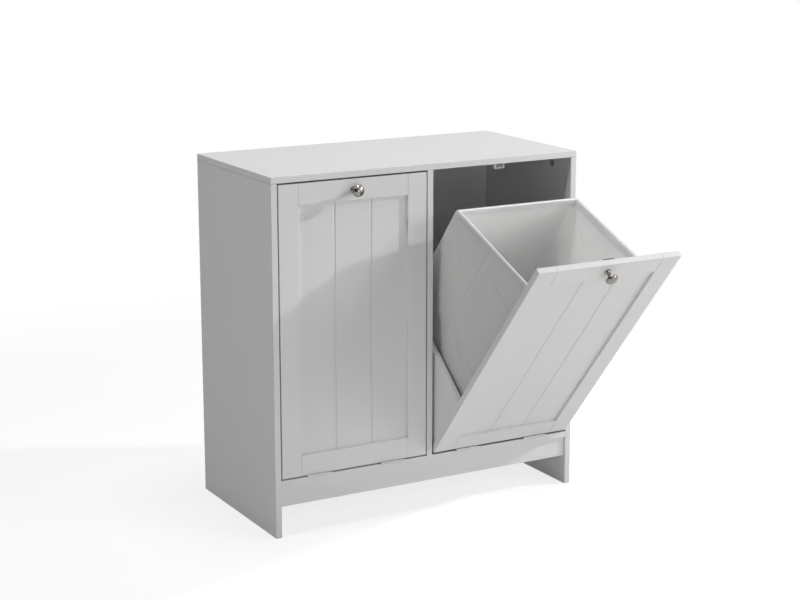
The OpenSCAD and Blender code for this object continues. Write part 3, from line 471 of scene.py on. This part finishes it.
bagCut = {
    "slope": 18.0,       # degrees, the rim falls towards the back
    "corner": 6.0,       # outer radius of the upright corners
    "cornerLeast": 0.7,  # and the least radius that an inset leaves of it
    "cornerSteps": 6,
    "gauge": 2.2,        # cloth with its stiffener
    "mesh": 4.0,         # between columns and between rows
    "cover": 4.6,        # how far the wall's top end stays below the rim, under the rolled hem
    "foot": 1.5,         # the walls start this far over the base
    "rowsSpared": 6,     # rows fewer than the height would take
    "rowsCrowd": 0.97,   # under 1 the rows lie closer towards the rim
    "bulge": (-0.8, 1.6, 1.8, 1.6),   # front, right, back and left wall, outwards
    "foldOut": 2.4,                   # the side walls stand out towards the fold
    "foldReach": (127.0, 122.0),      # towards the back, towards the front
    "foldHeld": 0.4,                  # share of that which the tray leaves
    "foldMark": -0.8,                 # and they dip at the pressed line itself
    "foldMarkWide": 1.5,
    "foldColumns": (-4.5, -3, -1.5, 0, 1.5, 3, 4.5),   # closer columns beside the fold
    "columnClear": 2.2,               # no other column stands nearer to them
    "trayTop": 262.0,
    "held": 0.2,                      # share of the swell that the tray leaves
    "loosens": (-15, 90),             # from here to there over the tray's top the walls come free
    "pullIn": 5.5,       # how far the walls draw in where the tray holds them
    "pullFrom": (3, 35),              # over the base
    "pullTo": (-5, 85),               # over the tray's top
    "welt": 0.5,                      # the sewn edge of each corner stands out
    "weltAt": (0.3, 0.7),             # the part of each corner's turn that it takes
    "weltRise": 0.05,                 # share of the height in which it starts
}
# slow waves in the walls: height, stretch along the wall, stretch up, start
bagWaves = ((0.30, 23.0, 61.0, 0.0), (0.22, 41.0, -37.0, 1.3), (0.12, 13.0, 19.0, 0.6))
# the bag's floor from its middle outwards: inset, lift
baseRings = ((125, 0.0), (105, 0.0), (70, 0.05), (35, 0.1), (14, 0.05), (4, 0.0), (1.2, 0.15), (0.35, 0.6))
# section of the rolled hem: distance in from the outer face, height over the rim
hemSection = (
    (1.3, -6.4), (0.3, -5.9), (-0.25, -5.0), (-0.2, -3.6), (0.5, -2.0), (1.7, -0.9), (3.0, -0.35),
    (4.6, -0.1), (6.1, -0.5), (7.0, -1.4), (7.35, -2.8), (7.3, -4.6), (6.8, -7.0), (6.1, -10.0),
    (5.6, -14.5), (5.0, -16.9), (5.5, -17.8), (5.5, -19.2), (4.7, -19.9), (3.0, -20.0), (1.9, -18.5),
    (1.6, -12.0),
)
hemCrest = 7    # from this point on the hem takes the inside's paler copy of the cloth, painted light
# rows of stitches at these insets, this far under the rim
stitchMake = {"insets": (-0.1, 5.15), "drop": 16.9, "pitch": 4.0, "length": 3.1, "thick": 0.75,
              "lean": 0.10, "seed": 7, "sides": 6, "rings": 5}


class Outline:  # the bag's rounded rectangle, as columns that any inset loop shares
    def __init__(self, halfWidth, front, back, cut):
        self.size = halfWidth, front, back
        self.radius = cut["corner"]
        self.radiusLeast = cut["cornerLeast"]
        self.columns = []   # each is wall, share along it, and share of the corner's turn or -1 before it
        for wall in range(4):
            length = 2 * halfWidth if wall % 2 == 0 else back - front
            marks = []
            if wall % 2:
                fold = (foldAt - front - self.radius) / (length - 2 * self.radius)
                fold = fold if wall == 1 else 1 - fold
                marks = [fold + k / length for k in cut["foldColumns"]]
            count = round((length - 2 * self.radius) / cut["mesh"])
            places = [k / count for k in range(count + 1)]
            if marks:
                clear = cut["columnClear"] / length
                places = [p for p in places if min(abs(p - m) for m in marks) > clear]
            self.columns += [(wall, t, -1.0) for t in sorted(places + marks)]
            self.columns += [(wall, 1.0, k / cut["cornerSteps"]) for k in range(1, cut["cornerSteps"])]
        self.wall = np.array([c[0] for c in self.columns])
        self.along = np.array([c[1] for c in self.columns])
        self.turn = np.array([c[2] for c in self.columns])

    def loop(self, inset):  # places and outward directions of every column, at this inset
        halfWidth, front, back = self.size
        halfWidth, front, back = halfWidth - inset, front + inset, back - inset
        radius = max(self.radius - inset, self.radiusLeast)
        corners = ((-halfWidth, front), (halfWidth, front), (halfWidth, back), (-halfWidth, back))
        headings = ((1, 0), (0, 1), (-1, 0), (0, -1))
        places, outward = [], []
        for wall, along, turn in self.columns:
            (x0, y0), (x1, y1), (hx, hy) = corners[wall], corners[(wall + 1) % 4], headings[wall]
            if turn < 0:
                x0, y0, x1, y1 = x0 + hx * radius, y0 + hy * radius, x1 - hx * radius, y1 - hy * radius
                places.append((x0 + (x1 - x0) * along, y0 + (y1 - y0) * along))
                outward.append((hy, -hx))
            else:
                angle = turn * math.pi / 2
                cosine, sine = math.cos(angle), math.sin(angle)
                dx, dy = hy * cosine + hx * sine, hy * sine - hx * cosine
                cx, cy = x1 - hx * radius - hy * radius, y1 - hy * radius + hx * radius
                places.append((cx + dx * radius, cy + dy * radius))
                outward.append((dx, dy))
        return np.array(places), np.array(outward)


def creased(y, z, start, end, height, width):  # how far one crease stands out at each point
    (y0, z0), (y1, z1) = start, end
    length = math.hypot(y1 - y0, z1 - z0)
    ahead, aside = (y1 - y0) / length, (z1 - z0) / length
    run = ((y - y0) * ahead + (z - z0) * aside) / length
    away = (z - z0) * ahead - (y - y0) * aside
    rise, full = creaseEnds["start"], creaseEnds["full"]
    ends = smooth(rise, full, run) * (1 - smooth(1 - full, 1 - rise, run))
    return height * np.exp(-(away / width) ** 2) * ends


def wallSwell(outline, cut, places, z, base, rim):
    # how far each point of the wall stands out from its flat plane
    t, y = outline.along[None, :], places[:, 1][None, :]
    x = places[:, 0][None, :]
    trayTop = cut["trayTop"]
    share = np.clip((z - base) / (rim - base), 0, 1)
    ends = np.where(outline.turn[None, :] < 0, np.sin(np.pi * np.clip(t, 0, 1)), 0.0)
    upright = np.sin(np.pi * share)
    low, high = cut["loosens"]
    loose = cut["held"] + (1 - cut["held"]) * smooth(trayTop + low, trayTop + high, z)
    swell = np.array(cut["bulge"])[outline.wall][None, :] * ends * upright * loose
    side = (outline.wall % 2 == 1)[None, :] & (outline.turn < 0)[None, :]
    reach = np.where(y > foldAt, *cut["foldReach"])
    peak = np.clip(1 - np.abs(y - foldAt) / reach, 0, 1)
    free = cut["foldHeld"] + (1 - cut["foldHeld"]) * loose
    fold = cut["foldOut"] * peak * np.sqrt(np.clip(upright, 0, 1)) * free
    fold = fold + cut["foldMark"] * np.exp(-((y - foldAt) / cut["foldMarkWide"]) ** 2)
    for crease in bagCreases:
        fold = fold + creased(y, z, *crease[:4])
    swell = swell + np.where(side, fold, 0.0)
    run = np.where(side, y, x)
    waves = sum(height * np.sin(run / along + z / up + start) for height, along, up, start in bagWaves)
    swell = swell + waves * ends * upright * loose
    low, high = cut["pullFrom"]
    drawn = cut["pullIn"] * smooth(base + low, base + high, z)
    low, high = cut["pullTo"]
    drawn = drawn * (1 - smooth(trayTop + low, trayTop + high, z))
    low, high = cut["weltAt"]
    corner = (outline.turn > low) & (outline.turn < high)
    welt = np.where(corner, cut["welt"], 0.0)[None, :] * smooth(0, cut["weltRise"], share)
    return swell - drawn + welt


def ringFaces(rows, columns, closed=False):  # quads between neighbouring loops
    faces = []
    for j in range(rows if closed else rows - 1):
        a, b = j * columns, ((j + 1) % rows) * columns
        for i in range(columns):
            k = (i + 1) % columns
            faces.append((a + i, a + k, b + k, b + i))
    return faces


def newPiece(name, points, faces, material):
    mesh = bpy.data.meshes.new(name)
    mesh.from_pydata([tuple(p) for p in np.asarray(points) * mm], [], faces)
    mesh.materials.append(material)
    mesh.validate()
    for face in mesh.polygons:
        face.use_smooth = True
    return addObject(name, mesh)


def clothMap(piece):  # each face is mapped flat along the axis it faces most, in metres
    mesh = piece.data
    flat = mesh.uv_layers.new(name="cloth")
    spots = np.zeros(len(mesh.vertices) * 3)
    mesh.vertices.foreach_get("co", spots)
    spots = spots.reshape(-1, 3)
    facing = np.zeros(len(mesh.polygons) * 3)
    mesh.polygons.foreach_get("normal", facing)
    most = np.abs(facing.reshape(-1, 3)).argmax(axis=1)
    sizes = np.zeros(len(mesh.polygons), int)
    mesh.polygons.foreach_get("loop_total", sizes)
    corner = np.zeros(len(mesh.loops), int)
    mesh.loops.foreach_get("vertex_index", corner)
    axis = np.repeat(most, sizes)
    spot = spots[corner]
    # one metre aside, so that only the side walls reach the fold and the creases
    u = np.where(axis == 0, spot[:, 1], spot[:, 0] + 1.0)
    v = np.where(axis == 2, spot[:, 1], spot[:, 2])
    flat.data.foreach_set("uv", np.column_stack((u, v)).ravel())


def asPlainMesh(piece):  # the modifiers' result as a mesh of its own
    seen = piece.evaluated_get(bpy.context.evaluated_depsgraph_get())
    mesh = bpy.data.meshes.new_from_object(seen)
    name = piece.name
    bpy.data.objects.remove(piece)
    return addObject(name, mesh)


def makeStitchTree(make):  # each stitch is a small bead, drawn out along the path
    tree = bpy.data.node_groups.new("stitchRow", "GeometryNodeTree")
    sockets = {"Path": "Geometry", "Pitch": "Float", "Length": "Float", "Thickness": "Float",
               "Lean": "Float", "Seed": "Int", "Thread": "Material"}
    for name, kind in sockets.items():
        tree.interface.new_socket(name=name, in_out="INPUT", socket_type="NodeSocket" + kind)
    tree.interface.new_socket(name="Stitches", in_out="OUTPUT", socket_type="NodeSocketGeometry")
    graph = Graph(tree)
    given = graph.node("NodeGroupInput", out="Path")
    row = graph.node("GeometryNodeMeshToCurve", {}, {"Mesh": given})
    row = graph.node("GeometryNodeResampleCurve", {"mode": "LENGTH"},
                     {"Curve": row, "Length": given.out("Pitch")})
    bead = graph.node("GeometryNodeMeshUVSphere", {},
                      {"Segments": make["sides"], "Rings": make["rings"], "Radius": 0.5})
    bead = graph.node("GeometryNodeSetShadeSmooth", {}, {0: bead})
    size = graph.node("ShaderNodeCombineXYZ", {},
                      {0: given.out("Thickness"), 1: given.out("Thickness"), 2: given.out("Length")})
    bead = graph.node("GeometryNodeTransform", {}, {"Geometry": bead, "Scale": size})
    jitter = graph.node("FunctionNodeRandomValue", {"data_type": "FLOAT_VECTOR"},
                        {0: (-1, -1, -1), 1: (1, 1, 1), "Seed": given.out("Seed")})
    jitter = graph.node("ShaderNodeVectorMath", {"operation": "SCALE"},
                        {0: jitter, "Scale": given.out("Lean")})
    course = graph.node("ShaderNodeVectorMath", {"operation": "ADD"},
                        {0: graph.node("GeometryNodeInputTangent"), 1: jitter})
    turned = graph.node("FunctionNodeAlignRotationToVector", {"axis": "Z"}, {"Vector": course})
    row = graph.node("GeometryNodeInstanceOnPoints", {},
                     {"Points": row, "Instance": bead, "Rotation": turned})
    row = graph.node("GeometryNodeRealizeInstances", {}, {0: row})
    row = graph.node("GeometryNodeSetMaterial", {}, {"Geometry": row, "Material": given.out("Thread")})
    end = tree.nodes.new("NodeGroupOutput")
    graph.feed(end.inputs[0], row)
    return tree


stitchTree = makeStitchTree(stitchMake)


def makeStitches(name, paths, make):  # one piece of stitches along these closed paths
    points, edges = [], []
    for path in paths:
        first = len(points)
        points += [tuple(p) for p in np.asarray(path) * mm]
        last = len(points) - 1
        edges += [(k, k + 1) for k in range(first, last)] + [(last, first)]
    mesh = bpy.data.meshes.new(name)
    mesh.from_pydata(points, edges, [])
    row = addObject(name, mesh)
    live = row.modifiers.new("stitches", "NODES")
    live.node_group = stitchTree
    values = {"Pitch": make["pitch"] * mm, "Length": make["length"] * mm, "Thickness": make["thick"] * mm,
              "Lean": make["lean"], "Seed": make["seed"], "Thread": seamThread}
    for socket in stitchTree.interface.items_tree:
        if socket.in_out == "INPUT" and socket.name in values:
            live[socket.identifier] = values[socket.name]
    return asPlainMesh(row)


def makeBag(side, cut):
    # built as it hangs with its hamper closed; the right one is then turned with its open door
    low, high = (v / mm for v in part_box("left_bag"))
    middle = (low.x + high.x) / 2 * (1 if side == "left" else -1)
    base, top = low.z, high.z
    fall = math.tan(math.radians(cut["slope"]))
    outline = Outline((high.x - low.x) / 2, low.y, high.y, cut)
    columns = len(outline.columns)

    def rimAt(y):
        return top - (y - low.y) * fall

    def ringAt(inset, height, overRim=True):  # a closed row of points, this high over the rim or the base
        flat = outline.loop(inset)[0]
        level = rimAt(flat[:, 1]) if overRim else np.full(columns, base)
        return np.column_stack((flat, level + height))

    places, outward = outline.loop(0.0)
    rim = rimAt(places[:, 1]) - cut["cover"]
    rows = round((top - base) / cut["mesh"]) - cut["rowsSpared"]
    share = np.linspace(0, 1, rows) ** cut["rowsCrowd"]
    foot = base + cut["foot"]
    z = foot + share[:, None] * (rim - foot)[None, :]
    swell = wallSwell(outline, cut, places, z, base, rim[None, :])
    wallPoints = np.stack((places[:, 0][None, :] + outward[:, 0][None, :] * swell,
                           places[:, 1][None, :] + outward[:, 1][None, :] * swell, z), axis=2)
    floorLoops = [ringAt(inset, lift, False) for inset, lift in baseRings]
    points = np.concatenate(floorLoops + [wallPoints.reshape(-1, 3)])
    faces = ringFaces(len(floorLoops) + rows, columns)
    faces.append(tuple(reversed(range(columns))))  # closes the middle of the base
    points[:, 0] += middle
    bag = newPiece(side + "_bag_cloth", points, faces, bagCloth)
    clothMap(bag)
    # the inner face takes the paler copy of the cloth, painted light
    bag.data.materials.append(bagInsidePaintedLight)
    wall = bag.modifiers.new("wall", "SOLIDIFY")
    wall.thickness = cut["gauge"] * mm
    wall.offset = -1
    wall.material_offset = 1
    bag = asPlainMesh(bag)

    loops = [ringAt(inset, height) for inset, height in hemSection]
    points = np.concatenate(loops)
    points[:, 0] += middle
    hem = newPiece(side + "_bag_hem", points, ringFaces(len(loops), columns, True), bagCloth)
    hem.data.materials.append(bagInsidePaintedLight)
    for face in hem.data.polygons:
        face.material_index = int(face.index // columns >= hemCrest)
    clothMap(hem)

    paths = [ringAt(inset, -stitchMake["drop"]) for inset in stitchMake["insets"]]
    for path in paths:
        path[:, 0] += middle
    stitches = makeStitches(side + "_bag_stitches", paths, stitchMake)

    pieces = [bag, hem, stitches]
    if side == "right":
        pivot = Matrix.Translation(Vector(openHinge["pos_m"]))
        turn = Matrix.Rotation(math.radians(openAngle), 4, Vector(openHinge["axis"]))
        for piece in pieces:
            piece.data.transform(pivot @ turn @ pivot.inverted())
    for piece in pieces:
        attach(piece, side + "_hamper")
    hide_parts(side + "_bag")
    width, depth = (high.x - low.x) * mm, (high.y - low.y) * mm
    front, back = (top - base) * mm, (rimAt(high.y) - base) * mm
    around = 2 * (high.x - low.x + high.y - low.y) * mm
    front + depth
    around * (front + back) / 2 + width * depth
    print(side, "bag made:", [len(p.data.polygons) for p in pieces], "faces")


for side in ("left", "right"):
    makeBag(side, bagCut)

# studio: floor, lamps, cards, sky and camera, in metres
studio = {
    "floorSize": 9.0,
    "floorGrey": 0.8,      # what the floor throws back on the object
    "floorWhite": 0.36, "floorGlow": 0.75,   # what the camera sees of it, with the shadow
    "fadeFrom": 1.1, "fadeTo": 2.0,   # from the middle of the floor, where it turns plain white
    "sky": 0.03,
    "aim": (0.0, -0.05, 0.36),
    "lamps": {
        "keyLamp": {"from": (0.837, -0.284, 0.468), "distance": 3.0, "size": 0.12, "power": 46.0},
        "softLamp": {"from": (0.60, -0.725, 0.33), "distance": 3.0, "size": 1.1, "power": 18.0},
        "sideLamp": {"from": (-0.80, -0.155, 0.575), "distance": 3.0, "size": 0.12, "power": 15.0},
        "topLamp": {"from": (0.0, 0.0, 1.0), "distance": 2.6, "size": 1.0, "power": 25.5},
        "frontLamp": {"from": (-0.25, -1.0, 0.18), "distance": 3.5, "size": 2.2, "power": 12.5},
        "lowLamp": {"from": (0.0, -1.0, 0.0), "distance": 3.0, "size": 1.0, "power": 8.0},
        "backLamp": {"from": (0.12, 1.0, 0.04), "distance": 3.2, "size": 1.2, "power": 20.0, "shine": False},
    },
    # cards that only reflections show: middle, width and height, facing
    "cards": {
        "leftCard": {"middle": (-2.4, -1.0, 1.2), "size": (3.2, 2.6), "facing": (1.0, 0.25, -0.2),
                     "grey": 0.015},
        "frontCard": {"middle": (-0.9, -2.2, 0.9), "size": (1.9, 2.0), "facing": (0.35, 1.0, -0.1),
                      "grey": 0.20},
    },
}
view = {"place": (-1.70633, -3.07277, 1.20888), "aim": (-0.01367, -0.07278, 0.40259),
        "lens": 82.07, "sensor": 36.0, "farEnd": 60.0}   # lens and sensor in millimetres


def addFlat(name, wide, high):  # a rectangle about the origin, lying flat
    mesh = bpy.data.meshes.new(name)
    x, y = wide / 2, high / 2
    mesh.from_pydata([(-x, -y, 0), (x, -y, 0), (x, y, 0), (-x, y, 0)], [], [(0, 1, 2, 3)])
    return addObject(name, mesh)


def emptyGraph(owner):  # of a material or the world
    owner.use_nodes = True
    owner.node_tree.nodes.clear()
    return Graph(owner.node_tree)


def seenDirectly(graph):  # 1 for the camera's rays and for those that gloss and glass send on
    rays = graph.node("ShaderNodeLightPath", out="Is Camera Ray")
    return graph.math("MINIMUM", rays + rays.out("Is Glossy Ray") + rays.out("Is Transmission Ray"), 1.0)


def makeFloor(look):
    floor = addFlat("studio_floor", look["floorSize"], look["floorSize"])
    material = bpy.data.materials.new("studioFloor")
    graph = emptyGraph(material)
    seen = seenDirectly(graph)
    where = graph.node("ShaderNodeTexCoord", out="Object")
    away = graph.node("ShaderNodeVectorMath", {"operation": "LENGTH"}, {0: where}, "Value")
    fade = graph.node("ShaderNodeMapRange", {"interpolation_type": "SMOOTHSTEP"},
                      {"Value": away, "From Min": look["fadeFrom"], "From Max": look["fadeTo"]})
    grey = graph.node("ShaderNodeBsdfDiffuse", {}, {"Color": tint((1, 1, 1), look["floorGrey"])})
    white = graph.node("ShaderNodeBsdfDiffuse", {}, {"Color": tint((1, 1, 1), look["floorWhite"])})
    glow = graph.node("ShaderNodeEmission", {}, {"Strength": look["floorGlow"]})
    lit = graph.node("ShaderNodeAddShader", {}, {0: white, 1: glow})
    plain = graph.node("ShaderNodeEmission", {}, {"Strength": 1.0})
    shown = graph.node("ShaderNodeMixShader", {}, {0: fade, 1: lit, 2: plain})
    every = graph.node("ShaderNodeMixShader", {}, {0: seen, 1: grey, 2: shown})
    graph.node("ShaderNodeOutputMaterial", {}, {"Surface": every})
    floor.data.materials.append(material)


def makeSky(look):
    world = bpy.data.worlds.new("studioSky")
    bpy.context.scene.world = world
    graph = emptyGraph(world)
    strength = seenDirectly(graph) * (1.0 - look["sky"]) + look["sky"]
    sky = graph.node("ShaderNodeBackground", {}, {"Color": (1, 1, 1, 1), "Strength": strength})
    graph.node("ShaderNodeOutputWorld", {}, {"Surface": sky})


def makeLamp(name, look):
    lamp = bpy.data.lights.new(name, "AREA")
    lamp.shape = "DISK"
    lamp.size = look["size"]
    lamp.energy = look["power"]
    holder = addObject(name, lamp)
    toward = Vector(look["from"]).normalized()
    holder.location = Vector(studio["aim"]) + toward * look["distance"]
    holder.rotation_mode = "QUATERNION"
    holder.rotation_quaternion = toward.to_track_quat("Z", "Y")
    holder.visible_glossy = look.get("shine", True)


def makeCard(name, look):
    card = addFlat(name, *look["size"])
    turn = Vector(look["facing"]).to_track_quat("Z", "Y").to_matrix().to_4x4()
    card.data.transform(Matrix.Translation(Vector(look["middle"])) @ turn)
    material = bpy.data.materials.new(name)
    graph = emptyGraph(material)
    glow = graph.node("ShaderNodeEmission", {}, {"Strength": look["grey"]})
    graph.node("ShaderNodeOutputMaterial", {}, {"Surface": glow})
    card.data.materials.append(material)
    card.visible_camera = False
    card.visible_diffuse = False
    card.visible_shadow = False
    card.visible_transmission = False


makeFloor(studio)
makeSky(studio)
for name, look in studio["cards"].items():
    makeCard(name, look)
for name, look in studio["lamps"].items():
    makeLamp(name, look)

scene = bpy.context.scene
camera = addObject("photoCamera", bpy.data.cameras.new("photoCamera"))
camera.data.sensor_width = view["sensor"]
camera.data.lens = view["lens"]
camera.data.clip_end = view["farEnd"]
camera.location = view["place"]
camera.rotation_mode = "QUATERNION"
camera.rotation_quaternion = (Vector(view["place"]) - Vector(view["aim"])).to_track_quat("Z", "Y")
scene.camera = camera
scene.view_settings.view_transform = "Standard"
print("studio made")
